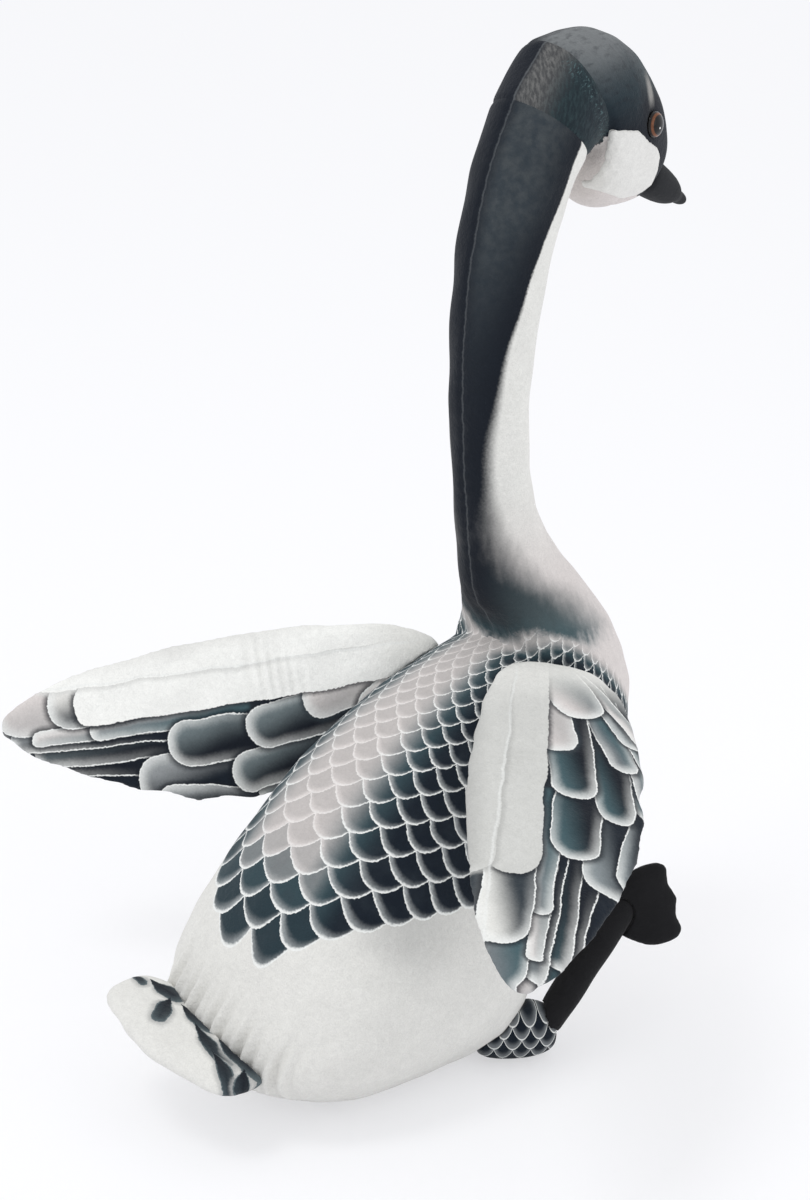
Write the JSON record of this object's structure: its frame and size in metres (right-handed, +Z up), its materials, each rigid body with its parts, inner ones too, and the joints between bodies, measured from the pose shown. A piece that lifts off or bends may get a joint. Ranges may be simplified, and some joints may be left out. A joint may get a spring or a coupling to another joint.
{
  "type": "plush goose",
  "caption": "Stuffed plush goose sitting on its belly, with a long curved neck, spread padded wings, a small padded tail and soft black legs with webbed feet.",
  "frame": {"origin": "On the floor, on the flat patch under the belly that the goose sits on.", "axes": "+Z up, +Y the way the goose faces, +X the goose's right side."},
  "size_m": [0.4411, 0.4227, 0.5814],
  "materials": {
    "torso_plush": "short-pile plush printed with body feathers",
    "neck_plush": "short-pile plush, dark with a white throat",
    "nape_plush": "streaky short-pile plush",
    "head_plush": "short-pile plush, dark with a pale brow",
    "cheek_plush": "white short-pile plush",
    "bill_fabric": "dark close-napped fabric",
    "eye_plastic": "glossy black pupil in an amber ring",
    "washer_plastic": "plain moulded plastic",
    "wing_plush": "short-pile plush printed with flight feathers",
    "tail_plush": "white short-pile plush",
    "thigh_plush": "short-pile plush printed with small feathers",
    "leg_fabric": "black close-napped fabric"
  },
  "bodies": {
    "root": {"torso": "torso_plush", "neck": "neck_plush", "nape_band": "nape_plush", "head": "head_plush", "cheek_right": "cheek_plush", "cheek_left": "cheek_plush", "bill": "bill_fabric", "eye_right": "eye_plastic", "eye_left": "eye_plastic", "washer_right": "washer_plastic", "washer_left": "washer_plastic", "wing_right": "wing_plush", "wing_left": "wing_plush", "tail": "tail_plush", "thigh_right": "thigh_plush", "thigh_left": "thigh_plush", "leg_right": "leg_fabric", "leg_left": "leg_fabric", "foot_right": "leg_fabric", "foot_left": "leg_fabric"}
  },
  "joints": []
}
